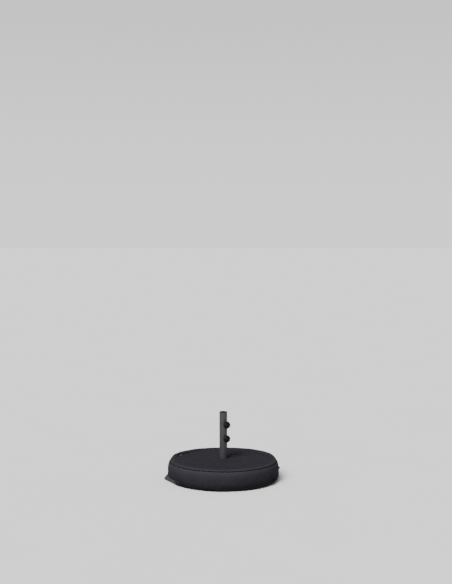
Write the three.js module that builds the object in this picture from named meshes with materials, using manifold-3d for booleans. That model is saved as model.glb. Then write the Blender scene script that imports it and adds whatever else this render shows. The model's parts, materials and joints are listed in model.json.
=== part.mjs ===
// Parasol base: a round cloth cover filled with two sand bags, with a steel foot inside it and an upright
// clamp tube that holds the parasol pole with two hand screws. Millimetres, +Z up. The origin is on the
// ground under the tube's axis, and -Y is the front. The zip closes the back of the cover's top panel.
import * as THREE from "three";
import { mergeVertices } from "three/addons/utils/BufferGeometryUtils.js";
import Module from "manifold-3d";

const wasm = await Module();
wasm.setup();

// ---------- driving dimensions ----------
const GAP = 0.3; // kept between pieces that touch
const ROUND = 48; // facets round the cover, the sand bags and the foot
const FINE = 28; // facets round the tube and the knobs
const SMALL = 16; // facets round bolts and screws

// cloth cover
const CLOTH = 1.6;
const FOOT_R = 300; // where the side panel leaves the ground
const BELLY_R = 337;
const BELLY_Z = 53;
const SEAM_R = 322.5; // top panel meets side panel
const SEAM_Z = 121.6;
const DECK_Z = 122.4; // flat ring of the top panel that carries the zip
const DECK_IN_R = 268;
const DECK_OUT_R = 313;
const CROWN_Z = 131.5; // middle of the top panel
const NECK_R = 25.6; // hole for the tube
const BINDING = 1; // thickness of the tape that binds the edges
const NECK_BINDING_W = 8;
const TOP_BINDING = [313, 318]; // inner and outer radius, inside the cover under the top seam
const BOTTOM_BINDING = [288, 298]; // and along the bottom seam

// zip
const ZIP_R = 288;
const ZIP_START = 27; // degrees from +X, right end
const ZIP_END = 155; // left end, where the slider rests when the zip is closed
const COIL_W = 6;
const COIL_H = 2.6;
const SLOT_W = 8;
const SLOT_PAST = [2, 2.5]; // degrees that the slot and tapes run on past the right and left ends
const STOP_SPAN = 0.8; // degrees
const TAPE_W = 10;
const TAPE = 0.8;
const SLIDER = { halfLength: 8, halfWidth: 5.6, lip: 2.2, plate: 1.4 };
const BRIDGE = { halfLength: 6.4, halfWidth: 1.5, bar: 1.8, rise: 2.9 }; // over the pull's crossbar
const PULL = { thickness: 1.4, eye: [0.8, 7.8], eyeHalfWidth: 2.2, halfWidth: 4.2, tipAt: 22, tipR: 3.4 };
const PULL_SLOPE = 6; // degrees that the pull hangs down from level

// clamp tube and foot
const TUBE_R = 24;
const TUBE_WALL = 1.5;
const RIM_Z = 418.3; // top of the bush, the highest point of the base
const BUSH_R = 19.5; // inside radius, for a 38 mm pole
const BUSH_COLLAR = 2.5;
const PLATE_R = 220;
const PLATE = 3;
const DIMPLE_R = 75; // raised middle of the foot plate
const DIMPLE_RISE = 8;
const FLANGE_R = 58;
const FLANGE = 5;
const BOLT_RING_R = 42;
const BOLT_R = 4;

// sand bags inside the cover
const BALLAST_LOW = 5.3;
const BALLAST_IN_R = 28; // round the tube, above the foot's nuts
const FILL_R = 280; // the filling necks stand under the zip
const FILL_Z = 104;

// hand screws
const SCREW_AZ = -62; // degrees from +X
const SCREW_Z = { upper: 343, lower: 258 };
const PAD_FACE = 19.3; // from the tube's axis, just clear of a 38 mm pole
const PAD = 3;
const STUD_R = 5;
const BOSS_R = 9;
const BOSS_FACE = 29.5; // from the tube's axis
const KNOB_R = 22;
const KNOB_BACK = 35.5; // from the tube's axis
const KNOB_DEPTH = 23;
const KNOB_FLUTES = 7;

// webbing handles
const HANDLES = { left: 180, front_right: -60, back_right: 60 }; // degrees from +X
const HANDLE_HALF_SPAN = 38; // degrees each way from the middle of a handle
const LEAVES_WALL = 24.8; // degrees from the middle where a loop that stands out leaves the cover
const MIDDLE_OUT = { lower: [358.5, 4.5], upper: [341, 29] }; // edges at the middle of such a loop
const MIDDLE_TUCKED = { lower: [319.6, 1.6], upper: [337.9, 25.3] }; // and of the one under the belly
const WEBBING = 2.2;
const PATCH = 1.2;
const PATCH_SPAN = 6.75; // degrees of the handle's end under each sewn patch

// folded tab on the right side
const LOOP = { azimuth: 2, low: 64, width: 12, straight: 4.5, outerR: 4, innerR: 2.6 };

// ---------- helpers ----------
const rad = THREE.MathUtils.degToRad;
const group = new THREE.Group();

// Adds one named mesh to the part, or to a group of it.
function add(name, geometry, material, parent = group) {
  const mesh = new THREE.Mesh(geometry, material);
  mesh.name = name;
  parent.add(mesh);
  return mesh;
}

// Turns a closed profile of [radius, height] points about the Z axis.
function lathe(profile, segments = ROUND) {
  const points = profile.map(([r, z]) => new THREE.Vector2(r, z));
  return new THREE.LatheGeometry(points, segments).rotateX(Math.PI / 2);
}

// A tube or ring of rectangular section about the Z axis.
function ring(inner, outer, low, high, segments = ROUND) {
  const corners = [[inner, low], [outer, low], [outer, high], [inner, high], [inner, low]];
  return lathe(corners, segments);
}

// A solid cylinder about the Z axis.
function disc(radius, low, high, segments = ROUND) {
  return lathe([[0, low], [radius, low], [radius, high], [0, high]], segments);
}

// A sheet of cloth in section: an open outline, and the same outline set in by the thickness on its left.
function sheetProfile(outline, thickness) {
  const inner = outline.map(([r, z], i) => {
    const [r0, z0] = outline[Math.max(i - 1, 0)];
    const [r1, z1] = outline[Math.min(i + 1, outline.length - 1)];
    const length = Math.hypot(r1 - r0, z1 - z0);
    return [r - ((z1 - z0) / length) * thickness, z + ((r1 - r0) / length) * thickness];
  });
  return [...outline, ...inner.reverse(), outline[0]];
}

// Points along a cubic curve in section, given its four control points.
function cubic(controls, divisions) {
  const curve = new THREE.CubicBezierCurve(...controls.map(([r, z]) => new THREE.Vector2(r, z)));
  return curve.getPoints(divisions).map((p) => [p.x, p.y]);
}

// A flat band that follows an arc about the Z axis.
function arcBand(inner, outer, startDeg, endDeg, low, high) {
  const shape = new THREE.Shape();
  shape.absarc(0, 0, outer, rad(startDeg), rad(endDeg), false);
  shape.absarc(0, 0, inner, rad(endDeg), rad(startDeg), true);
  const curveSegments = Math.max(2, Math.ceil(Math.abs(endDeg - startDeg) / 6));
  const settings = { depth: high - low, bevelEnabled: false, curveSegments };
  return new THREE.ExtrudeGeometry(shape, settings).translate(0, 0, low);
}

// A solid through rings of the same number of points, closed at both ends.
function loft(rings) {
  const count = rings[0].length;
  const positions = rings.flat().flatMap((p) => [p.x, p.y, p.z]);
  const index = [];
  for (let i = 0; i + 1 < rings.length; i++) {
    for (let j = 0; j < count; j++) {
      const a = i * count + j;
      const b = i * count + ((j + 1) % count);
      index.push(a, b + count, b, a, a + count, b + count);
    }
  }
  const last = (rings.length - 1) * count;
  for (let j = 1; j + 1 < count; j++) {
    index.push(0, j, j + 1);
    index.push(last, last + j + 1, last + j);
  }
  const geometry = new THREE.BufferGeometry();
  geometry.setAttribute("position", new THREE.Float32BufferAttribute(positions, 3));
  return geometry.setIndex(index);
}

function toSolid(geometry) {
  const bare = geometry.clone();
  bare.deleteAttribute("normal");
  bare.deleteAttribute("uv");
  const merged = mergeVertices(bare, 1e-3);
  const mesh = { numProp: 3, vertProperties: merged.attributes.position.array };
  return new wasm.Manifold(new wasm.Mesh({ ...mesh, triVerts: new Uint32Array(merged.index.array) }));
}

function toGeometry(solid) {
  const mesh = solid.getMesh();
  const geometry = new THREE.BufferGeometry();
  geometry.setAttribute("position", new THREE.BufferAttribute(mesh.vertProperties, 3));
  geometry.setIndex(new THREE.BufferAttribute(mesh.triVerts, 1));
  return geometry;
}

function cut(geometry, ...tools) {
  return toGeometry(tools.reduce((solid, tool) => solid.subtract(toSolid(tool)), toSolid(geometry)));
}

function join(geometry, ...more) {
  return toGeometry(more.reduce((solid, other) => solid.add(toSolid(other)), toSolid(geometry)));
}

function keepInside(geometry, tool) {
  return toGeometry(toSolid(geometry).intersect(toSolid(tool)));
}

// A box given by its lowest and highest corners.
function block([x0, y0, z0], [x1, y1, z1]) {
  const box = new THREE.BoxGeometry(x1 - x0, y1 - y0, z1 - z0);
  return box.translate((x0 + x1) / 2, (y0 + y1) / 2, (z0 + z1) / 2);
}

// ---------- materials ----------
const paint = (color, roughness, metalness = 0) =>
  new THREE.MeshStandardMaterial({ color, roughness, metalness });
const coverCloth = paint(0x37363b, 0.85);
const groundCloth = paint(0x242428, 0.7);
const webbing = paint(0x4b4b4f, 0.8);
const tubePaint = paint(0x545454, 0.5, 0.2);
const footPaint = paint(0x2e2e2e, 0.6, 0.2);
const zinc = paint(0xb8bcc0, 0.35, 1);
const blackPlastic = paint(0x26262a, 0.55);
const zipCloth = paint(0x1c1c20, 0.9);
const pullMetal = paint(0x6a6a6e, 0.35, 1);
const linerFilm = paint(0x8a8f86, 0.6);

// ---------- cloth cover ----------
const sideOutline = [
  ...cubic([[FOOT_R + 0.6, 0.5], [325, 2], [BELLY_R, 20], [BELLY_R, BELLY_Z]], 4),
  ...cubic([[BELLY_R, BELLY_Z], [BELLY_R, 95], [333, 113], [SEAM_R, SEAM_Z]], 4).slice(1),
];
const topOutline = [
  [SEAM_R - 1.8, SEAM_Z + 0.9],
  [DECK_OUT_R, DECK_Z],
  [DECK_IN_R, DECK_Z],
  [250, DECK_Z + 4],
  [225, CROWN_Z - 1.5],
  [150, CROWN_Z],
  [70, CROWN_Z - 0.5],
  [NECK_R, CROWN_Z - 2],
];

function makeCover() {
  add("cover_side", lathe(sheetProfile(sideOutline, CLOTH)), coverCloth);

  const slotEnds = [ZIP_START - SLOT_PAST[0], ZIP_END + SLOT_PAST[1]];
  const slotEdges = [ZIP_R - SLOT_W / 2, ZIP_R + SLOT_W / 2];
  const zipSlot = arcBand(...slotEdges, ...slotEnds, DECK_Z - 2 * CLOTH, CROWN_Z);
  add("cover_top", cut(lathe(sheetProfile(topOutline, CLOTH)), zipSlot), coverCloth);

  add("cover_bottom", disc(FOOT_R - 0.4, 0, CLOTH), groundCloth);

  const neckZ = CROWN_Z - 1.6;
  add("neck_ring", ring(NECK_R, NECK_R + NECK_BINDING_W, neckZ, neckZ + 1.2 * BINDING, FINE), zipCloth);

  // binding tape that covers the raw edges of both seams, inside the cover
  const underSeam = SEAM_Z - 1.9;
  const overBottom = CLOTH + GAP;
  add("top_seam_binding", ring(...TOP_BINDING, underSeam - BINDING, underSeam), zipCloth);
  add("bottom_seam_binding", ring(...BOTTOM_BINDING, overBottom, overBottom + BINDING), zipCloth);
}

function makeZip() {
  const tapeTop = DECK_Z - CLOTH - GAP;
  const edge = COIL_W / 4;
  const tapeEnds = [ZIP_START - SLOT_PAST[0], ZIP_END + SLOT_PAST[1]];
  const tape = (inner, outer) => arcBand(inner, outer, ...tapeEnds, tapeTop - TAPE, tapeTop);
  add("zip_tape_inner", tape(ZIP_R - edge - TAPE_W, ZIP_R - edge), zipCloth);
  add("zip_tape_outer", tape(ZIP_R + edge, ZIP_R + edge + TAPE_W), zipCloth);

  const low = tapeTop + GAP;
  const coilEnd = ZIP_END + 1.4; // the coil runs on under the slider
  const stopGap = 0.2;
  const coilBand = (start, span, height) =>
    arcBand(ZIP_R - COIL_W / 2, ZIP_R + COIL_W / 2, start, start + span, low, low + height);
  add("zip_coil", coilBand(ZIP_START, coilEnd - ZIP_START, COIL_H), zipCloth);
  const stop = (start) => coilBand(start, STOP_SPAN, COIL_H + 0.5);
  add("zip_stop_right", stop(ZIP_START - stopGap - STOP_SPAN), pullMetal);
  add("zip_stop_left", stop(coilEnd + stopGap), pullMetal);
}

// The slider and its pull are made at the origin: X runs along the zip, Y towards the tube, Z up.
function makeSlider() {
  const { halfLength, halfWidth, lip } = SLIDER;
  const plateLow = DECK_Z - CLOTH + COIL_H + GAP;
  const plateHigh = plateLow + SLIDER.plate;
  const plate = block([-halfLength, -halfWidth, plateLow], [halfLength, halfWidth, plateHigh]);
  const lipLow = DECK_Z + GAP;
  const lips = [-halfWidth, halfWidth - lip].map((y) => {
    return block([-halfLength, y, lipLow], [halfLength, y + lip, plateLow + 0.5]);
  });

  const pivotZ = plateHigh + 1.7;
  const top = pivotZ + BRIDGE.rise;
  const half = BRIDGE.halfLength;
  const bridge = new THREE.Shape();
  bridge.moveTo(-half, plateHigh - 0.5);
  bridge.lineTo(half, plateHigh - 0.5);
  bridge.lineTo(half - 0.4, top - 0.7);
  bridge.lineTo(half - 2, top);
  bridge.lineTo(2 - half, top);
  bridge.lineTo(0.4 - half, top - 0.7);
  const open = half - BRIDGE.bar;
  const window = new THREE.Path();
  window.moveTo(-open, plateHigh + 0.1);
  window.lineTo(-open, top - 1.4);
  window.lineTo(open, top - 1.4);
  window.lineTo(open, plateHigh + 0.1);
  bridge.holes.push(window);
  const arch = new THREE.ExtrudeGeometry(bridge, { depth: 2 * BRIDGE.halfWidth, bevelEnabled: false });
  arch.rotateX(Math.PI / 2).translate(0, BRIDGE.halfWidth, 0);

  const slider = new THREE.Group();
  slider.position.set(ZIP_R * Math.cos(rad(ZIP_END)), ZIP_R * Math.sin(rad(ZIP_END)), 0);
  slider.rotation.z = rad(ZIP_END + 90);
  group.add(slider);
  add("zip_slider", join(plate, ...lips, arch), pullMetal, slider);

  // pull tab: a crossbar under the bridge, an eye round it and a flat tongue, lying down at a slight slope
  const [eyeStart, eyeEnd] = PULL.eye;
  const wide = PULL.halfWidth;
  const tongue = new THREE.Shape();
  tongue.moveTo(-0.8, -wide);
  tongue.lineTo(10, -wide);
  tongue.lineTo(13, -PULL.tipR);
  tongue.absarc(PULL.tipAt, 0, PULL.tipR, -Math.PI / 2, Math.PI / 2, false);
  tongue.lineTo(13, PULL.tipR);
  tongue.lineTo(10, wide);
  tongue.lineTo(-0.8, wide);
  const eye = new THREE.Path();
  eye.moveTo(eyeStart, -PULL.eyeHalfWidth);
  eye.lineTo(eyeStart, PULL.eyeHalfWidth);
  eye.lineTo(eyeEnd, PULL.eyeHalfWidth);
  eye.lineTo(eyeEnd, -PULL.eyeHalfWidth);
  tongue.holes.push(eye);
  const tab = new THREE.ExtrudeGeometry(tongue, { depth: PULL.thickness, bevelEnabled: false, curveSegments: 8 });
  tab.translate(0, 0, -PULL.thickness / 2);
  const pull = add("zip_pull", tab, pullMetal, slider);
  pull.position.z = pivotZ;
  pull.rotation.y = rad(PULL_SLOPE);
}

// A flat band set on edge round the Z axis. It takes the inner face's [radius, height] at the band's
// lower and upper edges as functions of the place along it, which goes from -1 to 1.
function band(startDeg, endDeg, steps, lower, upper, thickness) {
  const rings = [];
  for (let i = 0; i <= steps; i++) {
    const u = (2 * i) / steps - 1;
    const az = rad(THREE.MathUtils.lerp(startDeg, endDeg, i / steps));
    const [lowR, lowZ] = lower(u);
    const [highR, highZ] = upper(u);
    const width = Math.hypot(highR - lowR, highZ - lowZ);
    const outR = ((highZ - lowZ) / width) * thickness;
    const outZ = ((lowR - highR) / width) * thickness;
    const at = (r, z) => new THREE.Vector3(r * Math.cos(az), r * Math.sin(az), z);
    rings.push([at(lowR, lowZ), at(lowR + outR, lowZ + outZ), at(highR + outR, highZ + outZ), at(highR, highZ)]);
  }
  return loft(rings);
}

// The webbing's edges where it is sewn down, leaning against the lower part of the side panel.
const SEWN_LOWER = [325.6, 8];
const SEWN_UPPER = [337.7, 35.4];
const LEAN_OUT = [0.915, -0.404]; // the way out from the webbing there

// How far a loop is drawn out at an angle from its middle, from 1 there to 0 where it lies on the cover.
// Each side of the loop that stands out is straight in plan, and touches the cover's round wall at its end.
function drawnOut(degrees) {
  const stretch = (angle) => 1 / Math.cos(rad(angle)) - 1;
  return stretch(Math.max(LEAVES_WALL - degrees, 0)) / stretch(LEAVES_WALL);
}

function tuckedUnder(degrees) {
  const free = Math.min(degrees / (HANDLE_HALF_SPAN - PATCH_SPAN), 1);
  return (1 - free ** 2) ** 1.2;
}

// Moves from a sewn edge to the edge at the middle of the handle and back.
function bowed(sewn, middle, share) {
  return (u) => sewn.map((value, k) => {
    return THREE.MathUtils.lerp(value, middle[k], share(Math.abs(u) * HANDLE_HALF_SPAN));
  });
}

function makeHandle(side, middle, share) {
  const az = HANDLES[side];
  const ends = [az - HANDLE_HALF_SPAN, az + HANDLE_HALF_SPAN];
  const lower = bowed(SEWN_LOWER, middle.lower, share);
  const upper = bowed(SEWN_UPPER, middle.upper, share);
  add(`handle_${side}`, band(...ends, 32, lower, upper, WEBBING), webbing);

  // a patch holds each end down from outside
  const patchEdge = (t) => SEWN_LOWER.map((value, k) => {
    return THREE.MathUtils.lerp(value, SEWN_UPPER[k], t) + (WEBBING + GAP) * LEAN_OUT[k];
  });
  const edges = [() => patchEdge(0.1), () => patchEdge(0.97)];
  const patch = (start) => band(start, start + PATCH_SPAN, 3, ...edges, PATCH);
  add(`handle_${side}_patch_a`, patch(ends[0]), coverCloth);
  add(`handle_${side}_patch_b`, patch(ends[1] - PATCH_SPAN), coverCloth);
}

function makeHandles() {
  makeHandle("left", MIDDLE_OUT, drawnOut);
  makeHandle("back_right", MIDDLE_OUT, drawnOut);
  makeHandle("front_right", MIDDLE_TUCKED, tuckedUnder);
}

// A folded tab of cloth sewn to the right side of the cover.
function makeSideLoop() {
  const wall = BELLY_R + 0.5;
  const bend = wall + LOOP.straight;
  const outline = new THREE.Shape();
  outline.moveTo(wall, -LOOP.outerR);
  outline.lineTo(bend, -LOOP.outerR);
  outline.absarc(bend, 0, LOOP.outerR, -Math.PI / 2, Math.PI / 2, false);
  outline.lineTo(wall, LOOP.outerR);
  outline.lineTo(wall, LOOP.innerR);
  outline.lineTo(bend, LOOP.innerR);
  outline.absarc(bend, 0, LOOP.innerR, Math.PI / 2, -Math.PI / 2, true);
  outline.lineTo(wall, -LOOP.innerR);
  const loop = new THREE.ExtrudeGeometry(outline, { depth: LOOP.width, bevelEnabled: false, curveSegments: 8 });
  add("side_loop", loop.translate(0, 0, LOOP.low), zipCloth).rotation.z = rad(LOOP.azimuth);
}

// ---------- foot and clamp tube ----------
const PLATE_Z = CLOTH + GAP;
const PLATE_TOP = PLATE_Z + DIMPLE_RISE + PLATE; // top of the raised middle
const DRAIN_R = 6;
const FLANGE_Z = PLATE_TOP + GAP;
const TUBE_Z = FLANGE_Z + FLANGE + GAP;
const TUBE_TOP = RIM_Z - BUSH_COLLAR - GAP;
const BOLT_TURNS = [45, 135, 225, 315].map(rad);

// Copies of a tool at the four bolts, turned to face the tube.
function atBolts(geometry) {
  return BOLT_TURNS.map((turn) => geometry.clone().translate(BOLT_RING_R, 0, 0).rotateZ(turn));
}

function makeFoot() {
  const slope = DIMPLE_R + 12;
  const profile = [
    [0, PLATE_Z + DIMPLE_RISE],
    [DIMPLE_R, PLATE_Z + DIMPLE_RISE],
    [slope, PLATE_Z],
    [PLATE_R, PLATE_Z],
    [PLATE_R, PLATE_Z + PLATE],
    [slope + 1, PLATE_Z + PLATE],
    [DIMPLE_R + 1, PLATE_TOP],
    [0, PLATE_TOP],
  ];
  const squareHole = block([-4.5, -4.5, 0], [4.5, 4.5, 30]);
  const roundHole = disc(BOLT_R + 0.5, 0, 40, SMALL);
  const drain = disc(DRAIN_R, 0, 40, SMALL);
  add("ground_plate", cut(lathe(profile), ...atBolts(squareHole), drain), footPaint);
  const flange = disc(FLANGE_R, FLANGE_Z, FLANGE_Z + FLANGE, FINE);
  add("foot_flange", cut(flange, ...atBolts(roundHole), drain), footPaint);

  const headTop = PLATE_Z + DIMPLE_RISE - GAP;
  const head = lathe([[0, headTop - 3.6], [5, headTop - 3.2], [8, headTop - 1], [8, headTop], [0, headTop]], SMALL);
  const neck = block([-4, -4, headTop - 0.5], [4, 4, PLATE_TOP]);
  const shank = disc(BOLT_R, headTop - 0.5, FLANGE_Z + FLANGE + 12, SMALL);
  const bolts = atBolts(join(head, neck, shank));
  const washerZ = FLANGE_Z + FLANGE + GAP;
  const washers = atBolts(ring(BOLT_R + 0.4, 8, washerZ, washerZ + 1.6, SMALL));
  const nutZ = washerZ + 1.6 + GAP;
  const nuts = atBolts(cut(disc(7.5, nutZ, nutZ + 6.5, 6), disc(BOLT_R + GAP, 0, 40, SMALL)));
  for (let i = 0; i < 4; i++) {
    add(`flange_bolt_${i + 1}`, bolts[i], zinc);
    add(`flange_washer_${i + 1}`, washers[i], zinc);
    add(`flange_nut_${i + 1}`, nuts[i], zinc);
  }
}

function makeTube() {
  const sideHoles = Object.values(SCREW_Z).map((z) => {
    return disc(STUD_R + 0.6, 15, 30, SMALL).rotateY(Math.PI / 2).rotateZ(rad(SCREW_AZ)).translate(0, 0, z);
  });
  const boreR = TUBE_R - TUBE_WALL;
  add("clamp_tube", cut(ring(boreR, TUBE_R, TUBE_Z, TUBE_TOP, FINE), ...sideHoles), tubePaint);

  const liner = boreR - GAP;
  const bush = [
    [BUSH_R, RIM_Z - 42],
    [liner, RIM_Z - 42],
    [liner, TUBE_TOP + GAP],
    [TUBE_R, TUBE_TOP + GAP],
    [TUBE_R, RIM_Z - 0.6],
    [TUBE_R - 0.6, RIM_Z],
    [BUSH_R + 1, RIM_Z],
    [BUSH_R, RIM_Z - 1],
    [BUSH_R, RIM_Z - 42],
  ];
  add("top_bush", lathe(bush, FINE), blackPlastic);

  const seat = [
    [5, TUBE_Z],
    [liner, TUBE_Z],
    [liner, TUBE_Z + 20],
    [BUSH_R + 1, TUBE_Z + 20],
    [BUSH_R, TUBE_Z + 6],
    [5, TUBE_Z + 6],
    [5, TUBE_Z],
  ];
  add("pole_seat", lathe(seat, FINE), blackPlastic);
}

// One hand screw, made with its axis along Z and turned to point out of the tube.
function makeScrew(level) {
  const height = new THREE.Group();
  height.position.z = SCREW_Z[level];
  height.rotation.z = rad(SCREW_AZ);
  group.add(height);
  const axis = new THREE.Group();
  axis.rotation.y = Math.PI / 2;
  height.add(axis);

  const boreR = STUD_R + GAP;
  const tube = disc(TUBE_R + GAP, -30, 30, FINE).rotateY(Math.PI / 2);
  const boss = cut(disc(BOSS_R, 15, BOSS_FACE, FINE), tube, disc(boreR, 0, 60, SMALL));
  add(`${level}_boss`, boss, tubePaint, axis);

  const padBack = PAD_FACE + PAD;
  const spigot = [
    [0, PAD_FACE],
    [STUD_R - 0.6, PAD_FACE],
    [STUD_R - 0.2, PAD_FACE + 0.4],
    [STUD_R - 0.2, padBack],
    [2.2, padBack],
    [2.2, padBack + 4],
    [0, padBack + 4],
  ];
  add(`${level}_pad`, lathe(spigot, SMALL), blackPlastic, axis);

  const tip = padBack + GAP;
  const stud = [
    [0, tip + 4.6],
    [2.6, tip + 4.6],
    [2.6, tip],
    [STUD_R - 0.6, tip],
    [STUD_R, tip + 0.6],
    [STUD_R, KNOB_BACK + 13.6],
    [0, KNOB_BACK + 13.6],
  ];
  add(`${level}_stud`, lathe(stud, SMALL), zinc, axis);

  const bevel = 2.4;
  const outline = new THREE.Shape();
  const points = KNOB_FLUTES * 6;
  for (let i = 0; i < points; i++) {
    const turn = (2 * Math.PI * i) / points;
    const r = KNOB_R - bevel - 0.55 * (1 - Math.cos(KNOB_FLUTES * turn));
    outline[i ? "lineTo" : "moveTo"](r * Math.cos(turn), r * Math.sin(turn));
  }
  const depth = KNOB_DEPTH - 2 * bevel;
  const settings = { depth, bevelSize: bevel, bevelThickness: bevel, bevelSegments: 2 };
  const grip = new THREE.ExtrudeGeometry(outline, settings).translate(0, 0, KNOB_BACK + bevel);
  add(`${level}_knob`, cut(grip, disc(boreR, 0, KNOB_BACK + 14, SMALL)), blackPlastic, axis);
}

// ---------- sand bags ----------
function makeBallast() {
  const inset = CLOTH + 0.5;
  const wall = sheetProfile(sideOutline, inset).slice(sideOutline.length, -1).reverse();
  const belly = wall.filter(([, z]) => z > BALLAST_LOW + 1 && z < SEAM_Z - 6);
  const top = CROWN_Z - CLOTH - 1.6;
  const profile = [
    [BALLAST_IN_R, 42],
    [FLANGE_R + 5, 36],
    [FLANGE_R + 6, PLATE_TOP + 1],
    [DIMPLE_R + 4, PLATE_TOP + 1],
    [DIMPLE_R + 16, BALLAST_LOW],
    [belly[0][0] - 5, BALLAST_LOW],
    ...belly,
    [DECK_OUT_R + 4, SEAM_Z - 3.6],
    [DECK_OUT_R - 4, SEAM_Z - 3.6],
    [DECK_OUT_R - 7, DECK_Z - 3.4],
    [DECK_IN_R - 8, DECK_Z - 3.4],
    [205, top],
    [75, top],
    [BALLAST_IN_R, top - 2],
    [BALLAST_IN_R, 42],
  ];
  const whole = lathe(profile);
  const apart = 3; // from each bag to the plane between them
  const far = 400;
  for (const [side, sign] of [["left", -1], ["right", 1]]) {
    const half = sign < 0 ? block([-far, -far, 0], [-apart, far, far]) : block([apart, -far, 0], [far, far, far]);
    const turn = rad(90 - sign * 13);
    const place = (geometry) => geometry.translate(FILL_R, 0, 0).rotateZ(turn);
    const pocket = place(disc(21, FILL_Z, 140, SMALL));
    const neckShape = [[0, FILL_Z - 4], [9, FILL_Z - 4], [9, FILL_Z + 8], [13, FILL_Z + 15], [0, FILL_Z + 15]];
    const neck = place(lathe(neckShape, SMALL));
    const bag = join(cut(keepInside(whole, half), pocket), neck);
    add(`ballast_bag_${side}`, bag, linerFilm);
    add(`ballast_tie_${side}`, place(ring(9.3, 11.5, FILL_Z + 2, FILL_Z + 6, SMALL)), blackPlastic);
  }
}

makeCover();
makeZip();
makeSlider();
makeHandles();
makeSideLoop();
makeFoot();
makeTube();
makeScrew("upper");
makeScrew("lower");
makeBallast();

export default group;
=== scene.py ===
"""Looks of the parasol base: the sand-filled cloth cover with its zip, seams and webbing handles, and the
clamp tube with its bush and hand screws. Metres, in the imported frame: +Z up, -Y to the front."""

import json
import math

import bmesh
import bpy
import numpy as np
from mathutils import Matrix, Vector, noise


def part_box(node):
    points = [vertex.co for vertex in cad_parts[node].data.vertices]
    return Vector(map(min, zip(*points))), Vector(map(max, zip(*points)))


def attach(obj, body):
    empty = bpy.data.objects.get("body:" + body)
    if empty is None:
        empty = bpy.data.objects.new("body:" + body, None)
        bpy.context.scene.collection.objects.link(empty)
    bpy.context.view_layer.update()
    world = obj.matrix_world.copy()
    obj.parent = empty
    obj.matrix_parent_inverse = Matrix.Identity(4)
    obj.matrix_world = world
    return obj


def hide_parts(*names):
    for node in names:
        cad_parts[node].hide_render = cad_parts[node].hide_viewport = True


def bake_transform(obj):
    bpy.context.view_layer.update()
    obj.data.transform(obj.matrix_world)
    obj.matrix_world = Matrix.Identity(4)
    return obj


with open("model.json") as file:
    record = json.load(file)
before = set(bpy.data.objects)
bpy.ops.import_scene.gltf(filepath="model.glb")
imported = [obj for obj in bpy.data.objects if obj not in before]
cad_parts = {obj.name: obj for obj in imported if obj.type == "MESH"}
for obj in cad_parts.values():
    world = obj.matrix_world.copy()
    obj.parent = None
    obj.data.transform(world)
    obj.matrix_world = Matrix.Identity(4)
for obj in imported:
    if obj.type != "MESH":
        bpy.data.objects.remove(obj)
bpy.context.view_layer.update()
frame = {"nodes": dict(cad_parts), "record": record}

MM = 0.001
SEAM_LINE_R = 323.6 * MM  # the mouth of the top seam
SEAM_LINE_Z = 118.3 * MM
TAU = 2 * math.pi
JOINTS = {j["name"]: j for j in frame["record"]["behaviour"]["joints"]}


# ---------- the camera ----------
def make_camera():
    """The main view: eye height 1.57 m, 6.8 m in front, tilted down a little."""
    data = bpy.data.cameras.new("camera")
    data.sensor_width = 36
    data.lens = 69.62
    camera = bpy.data.objects.new("camera", data)
    camera.location = (0.0165, -6.808, 1.5726)
    camera.rotation_euler = (math.pi / 2 - 0.0625, 0, 0)
    bpy.context.scene.collection.objects.link(camera)
    bpy.context.scene.camera = camera


# ---------- materials ----------
class Nodes:
    """A short way to write a material's node tree."""

    def __init__(self, name):
        self.material = bpy.data.materials.new(name)
        self.material.use_nodes = True
        self.tree = self.material.node_tree
        self.shader = self.tree.nodes["Principled BSDF"]

    def add(self, kind, **values):
        """Adds a node. Values that name an input are set or linked, and the rest are properties."""
        node = self.tree.nodes.new(kind)
        for key, value in values.items():
            name = key.replace("_", " ")
            slot = next((s for s in node.inputs if s.name.lower() == name.lower()), None)
            if slot is None:
                setattr(node, key, value)
            else:
                self.put(slot, value)
        return node

    def put(self, slot, value):
        if isinstance(value, bpy.types.NodeSocket):
            self.tree.links.new(value, slot)
        else:
            slot.default_value = value

    def math(self, operation, a, b=0.0):
        node = self.add("ShaderNodeMath", operation=operation)
        self.put(node.inputs[0], a)
        self.put(node.inputs[1], b)
        return node.outputs[0]

    def coordinates(self):
        return self.tree.nodes.new("ShaderNodeTexCoord").outputs["Object"]

    def noise(self, scale, detail=3.0, vector=None, roughness=0.5):
        vector = vector or self.coordinates()
        node = self.add("ShaderNodeTexNoise", vector=vector, scale=scale, detail=detail, roughness=roughness)
        return node.outputs["Fac"]

    def ramp(self, value, low, high, start=0.0, end=1.0):
        """Maps value from start..end to low..high."""
        node = self.add("ShaderNodeMapRange", clamp=True)
        pairs = (("Value", value), ("From Min", start), ("From Max", end), ("To Min", low), ("To Max", high))
        for name, v in pairs:
            self.put(node.inputs[name], v)
        return node.outputs[0]

    def mix(self, fac, a, b):
        node = self.add("ShaderNodeMix", data_type="RGBA")
        self.put(node.inputs[0], fac)
        self.put(node.inputs[6], a)
        self.put(node.inputs[7], b)
        return node.outputs[2]

    def bump(self, height, strength, distance, normal=None):
        node = self.add("ShaderNodeBump", height=height, strength=strength, distance=distance)
        if normal is not None:
            self.put(node.inputs["Normal"], normal)
        return node.outputs["Normal"]

    def surface(self, **values):
        for key, value in values.items():
            self.put(self.shader.inputs[key.replace("_", " ")], value)
        return self.material


def srgb(hex_colour, gain=1.0):
    """An sRGB hex colour as linear RGBA."""
    out = []
    for i in (0, 2, 4):
        c = int(hex_colour[i : i + 2], 16) / 255
        out.append(gain * (c / 12.92 if c <= 0.04045 else ((c + 0.055) / 1.055) ** 2.4))
    return (*out, 1.0)


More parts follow.
